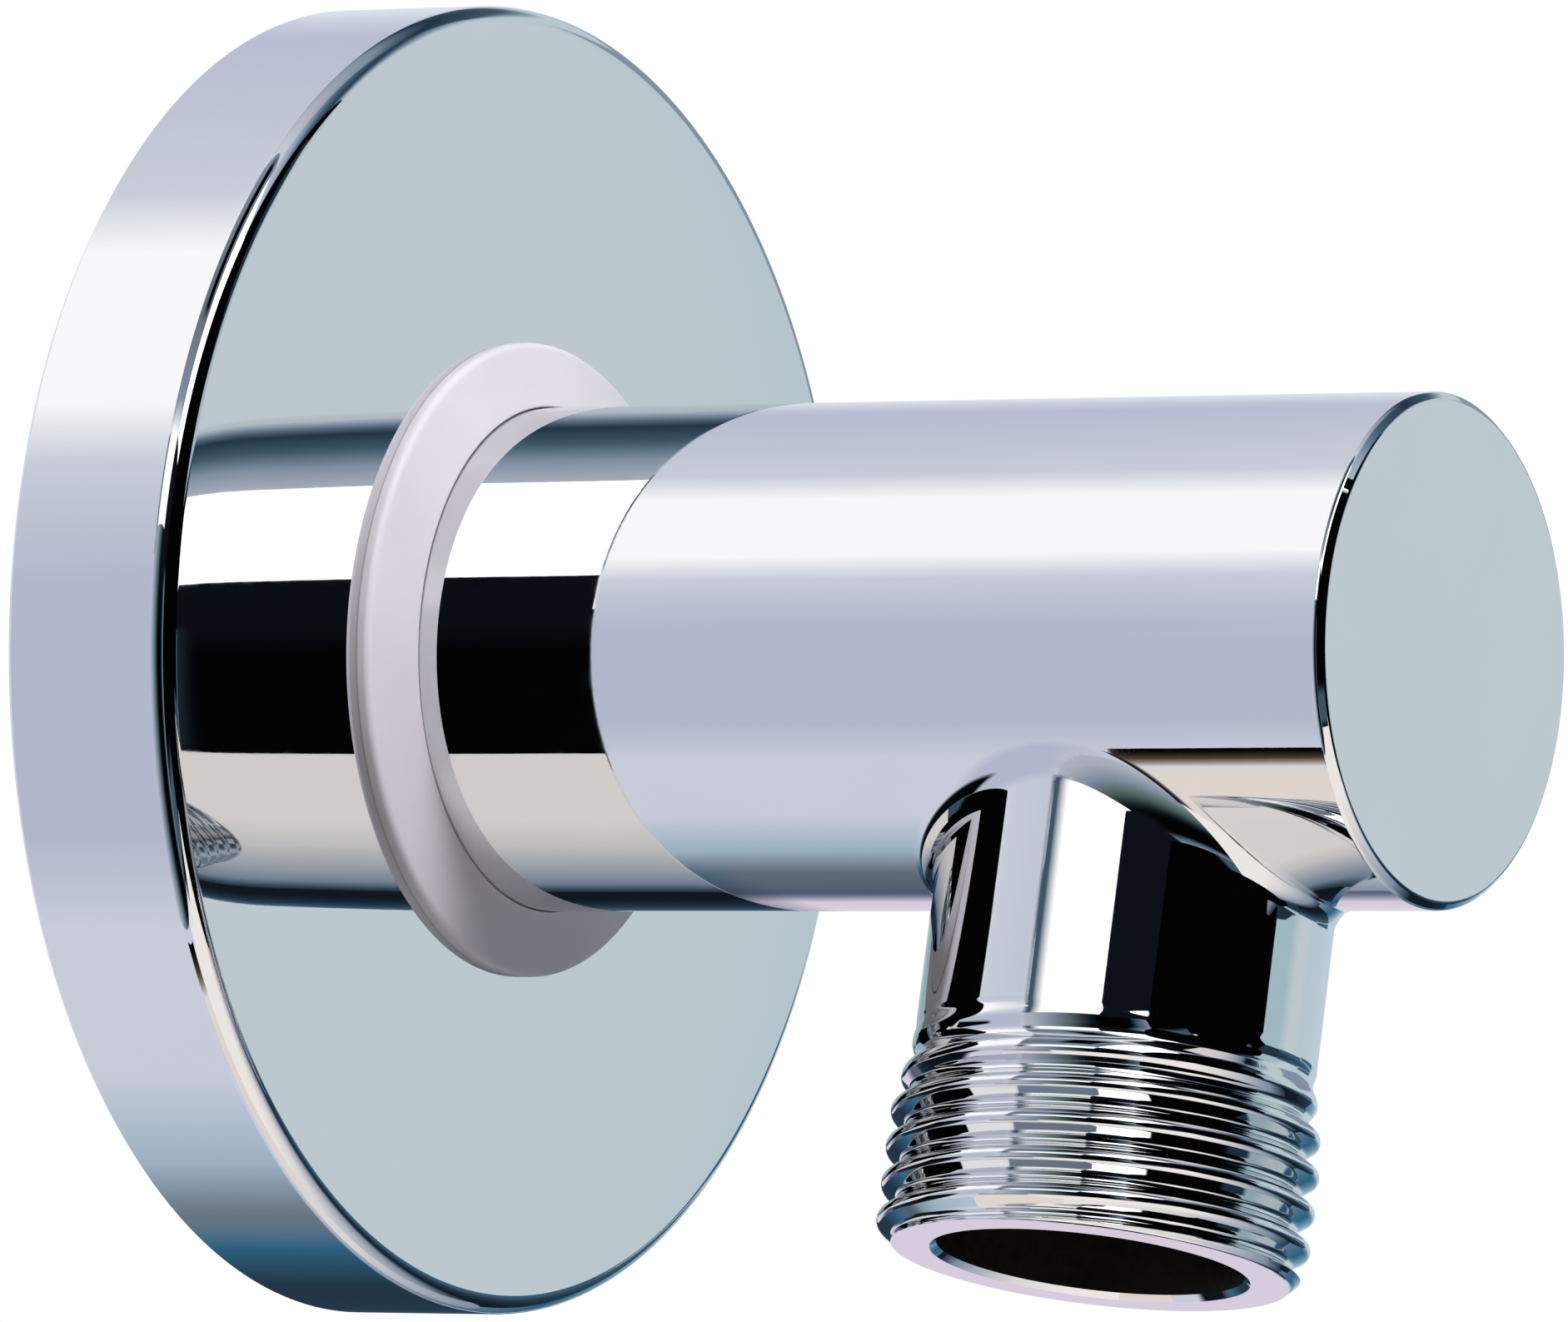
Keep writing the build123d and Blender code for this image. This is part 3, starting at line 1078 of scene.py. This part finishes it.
def makeCards():
    front = studio["drumDepth"]
    twice = studio["doubleGain"]
    outer = studio["outerLayer"] * studio["drumRadius"]
    middle = studio["middleLayer"] * studio["drumRadius"]
    inner = studio["innerLayer"] * studio["drumRadius"]

    # behind the wall plane, and low beside it: pale surroundings for the barrel and the rim
    addCard("backCove", (-180, 180), (-0.40, -2.6), [
        (-180, "pearl"), (-168, "orchid"), (-147, "orchid"), (-135, "mauve"), (-114, "storm"), (-98, "haze"),
        (-76, "pearl"), (-46, "pearl"), (-30, "lilac"), (14, "lilac"), (35, "pearl"), (46, "snow"),
        (76, "snow"), (90, "pearl"), (142, "lilac"), (162, "pearl"), (180, "pearl"),
    ], nearSoft=0.06)
    addCard("backFlag", (-125, -8), (-0.92, -2.6), [(-125, "night"), (-100, "ink"), (-8, "black")],
            radius=inner, nearSoft=0.10, turnSoft=6)
    addCard("lowCove", (-130, -43), (0.385, -0.42), [
        (-130, "steel"), (-110, "ash"), (-90, "pearl"), (-43, "pearl"),
    ])

    # beside the fitting, between the cove behind and the cards in front
    addCard("fadeCard", (-43, 22), (-0.46, 0.39), [
        (-0.46, "lilac"), (-0.30, "ash"), (-0.1, "steel"), (0.12, "moss"), (0.3, "ink"), (0.39, "black"),
    ], along=True, nearSoft=0.05)
    addCard("slateLine", (18, 38), (-0.47, -0.23), [(18, "slate"), (38, "slate")],
            nearSoft=0.04, farSoft=0.12)
    addCard("whiteGap", (22, 90), (-0.42, 0.385), [
        (22, "white"), (37, "white"), (43, "steel"), (60, "storm"), (90, "steel"),
    ], radius=outer)
    addCard("gapFlag", (56, 90), (-0.1, 0.22), [(56, "black"), (90, "black")], nearSoft=0.08, turnSoft=3)
    addCard("topGap", (90, 152), (-0.42, 0.385), [
        (90, "pearl"), (103, "ash"), (118, "steel"), (132, "night"), (145, "slate"), (152, "mist"),
    ])

    # in front of the wall plane
    addCard("frontFlag", (-43, 38), (0.385, front), [
        (-43, "black"), (4, "black"), (16, "indigo"), (38, "indigo"),
    ])
    addCard("frontShade", (-43, 18), (0.74, front), [(0.74, "black"), (0.86, "slate"), (front, "steel")],
            radius=middle, along=True, nearSoft=0.04, turnSoft=4)
    addCard("softbox", (38, 88), (0.385, 1.0), [(38, "glare"), (88, "glare")], power=twice, farSoft=0.04)
    addCard("foreFlag", (38, 152), (0.76, front), [(38, "black"), (152, "black")], radius=outer)
    addCard("topFlag", (88, 152), (0.385, 0.90), [
        (88, "ash"), (102, "steel"), (116, "slate"), (131, "night"), (145, "steel"), (152, "ash"),
    ], power=twice)
    addCard("mistCard", (152, 194), (-0.42, front), [
        (-0.42, "lilac"), (0.0, "sea"), (0.50, "sea"), (0.62, "mist"), (0.80, "mist"), (front, "lagoon"),
    ], along=True)
    addCard("sideShade", (185, 194), (0.04, 0.46), [(185, "teal"), (194, "teal")],
            radius=inner, nearSoft=0.06, farSoft=0.06, turnSoft=2)
    addCard("highSideShade", (158, 178), (-0.40, 0.42), [(158, "steel"), (178, "steel")],
            radius=inner, nearSoft=0.05, farSoft=0.06, turnSoft=2)
    addCard("lowSideShade", (189, 196), (0.42, front), [(189, "teal"), (196, "teal")],
            radius=inner, nearSoft=0.05, turnSoft=1.5)
    addCard("underGap", (-166, -130), (-0.42, 0.05), [(-166, "lagoon"), (-150, "teal"), (-130, "steel")])
    addCard("underFlag", (-166, -120), (0.05, front), [
        (-166, "slate"), (-156, "night"), (-142, "ink"), (-130, "ink"), (-128, "night"), (-120, "ash"),
    ], power=twice)
    addCapRing("capOuter", (1.0, 0.62), [
        (-180, "lagoon"), (-167, "lagoon"), (-165, "night"), (-138, "night"), (-130, "slate"), (-112, "ash"),
        (-90, "paper"), (-55, "paper"), (-52, "black"), (-44, "black"), (-40, "slate"), (-26, "slate"),
        (-18, "black"), (42, "black"), (134, "black"), (140, "night"), (158, "night"), (162, "lagoon"),
        (180, "lagoon"),
    ])
    addCapRing("capMiddle", (0.62, 0.46), [
        (-180, "black"), (-130, "black"), (-110, "steel"), (-90, "ash"), (-58, "ash"), (-52, "slate"),
        (-26, "slate"), (-18, "black"), (180, "black"),
    ])
    addCapRing("capInner", (0.46, 0.0), [(-180, "black"), (180, "black")])

    # close by: the table under the outlet and the shade behind the rosette's lower rim
    addCard("tableBack", (-128, -40.5), (-0.10, 0.26), [
        (-128, "steel"), (-116, "ash"), (-100, "paper"), (-84, "sand"), (-54, "sand"), (-49, "paper"),
        (-45, "brown"), (-41.5, "black"), (-40.5, "black"),
    ], radius=studio["tableRadius"])
    addCard("tableFront", (-128, -42), (0.26, 2.5), [
        (-128, "night"), (-119, "steel"), (-108, "ash"), (-90, "paper"), (-74, "cream"), (-42, "cream"),
    ], radius=studio["tableRadius"])
    addCard("rimShade", (-180, -96), (-0.29, -0.62), [
        (-180, "steel"), (-164, "teal"), (-146, "night"), (-126, "night"), (-110, "teal"), (-96, "steel"),
    ], radius=studio["shadeRadius"], nearSoft=0.06, turnSoft=12)


# 1 for rays that look at the surroundings, straight or by way of metal or glass
def seenRays(tree):
    calc = calculator(tree)
    path = addNode(tree, "ShaderNodeLightPath").outputs
    sentOn = calc("MAXIMUM", path["Is Glossy Ray"], path["Is Transmission Ray"])
    return calc("MAXIMUM", path["Is Camera Ray"], sentOn)


def makeFloor():
    half = studio["floorSize"] / 2
    drop = -studio["floorDrop"]
    material, tree, shader = newMaterial("paleFloor")
    pale = studio["floorTint"]
    dark = [studio["floorShade"] * channel for channel in pale]
    tint = addRamp(tree, addNoise(tree, studio["floorCloud"]), dark, pale)
    tree.links.new(tint, shader.inputs["Base Color"])
    shader.inputs["Roughness"].default_value = studio["floorRoughness"]
    shader.inputs["Specular IOR Level"].default_value = 0.0
    shader.inputs["Emission Color"].default_value = studio["white"]
    lift = calculator(tree)("MULTIPLY", seenRays(tree), studio["floorLift"])
    tree.links.new(lift, shader.inputs["Emission Strength"])
    material.cycles.emission_sampling = "NONE"
    points = [(-half, -half, drop), (half, -half, drop), (half, half, drop), (-half, half, drop)]
    stageMesh("floor", points, [(0, 1, 2, 3)], material)


def makeWorld():
    world = bpy.data.worlds.new("whiteStudio")
    scene.world = world
    world.use_nodes = True
    tree = world.node_tree
    soft = tree.nodes["Background"]
    soft.inputs["Color"].default_value = studio["white"]
    soft.inputs["Strength"].default_value = studio["skyForDiffuse"]
    plain = addNode(tree, "ShaderNodeBackground")
    plain.inputs["Color"].default_value = studio["white"]
    plain.inputs["Strength"].default_value = 1.0
    mix = addNode(tree, "ShaderNodeMixShader")
    tree.links.new(seenRays(tree), mix.inputs["Fac"])
    tree.links.new(soft.outputs["Background"], mix.inputs[1])
    tree.links.new(plain.outputs["Background"], mix.inputs[2])
    tree.links.new(mix.outputs["Shader"], tree.nodes["World Output"].inputs["Surface"])


def makeKeyLamp():
    data = bpy.data.lights.new("keyLamp", "AREA")
    data.energy = studio["keyPower"]
    data.size = studio["keySize"]
    lamp = bpy.data.objects.new("keyLamp", data)
    scene.collection.objects.link(lamp)
    place = Vector(studio["keyPlace"])
    lamp.matrix_world = Matrix.Translation(place) @ place.to_track_quat("Z", "Y").to_matrix().to_4x4()
    lamp.visible_glossy = False


makeCards()
makeFloor()
makeWorld()
makeKeyLamp()
scene.view_settings.view_transform = "Standard"
print("studio ready")
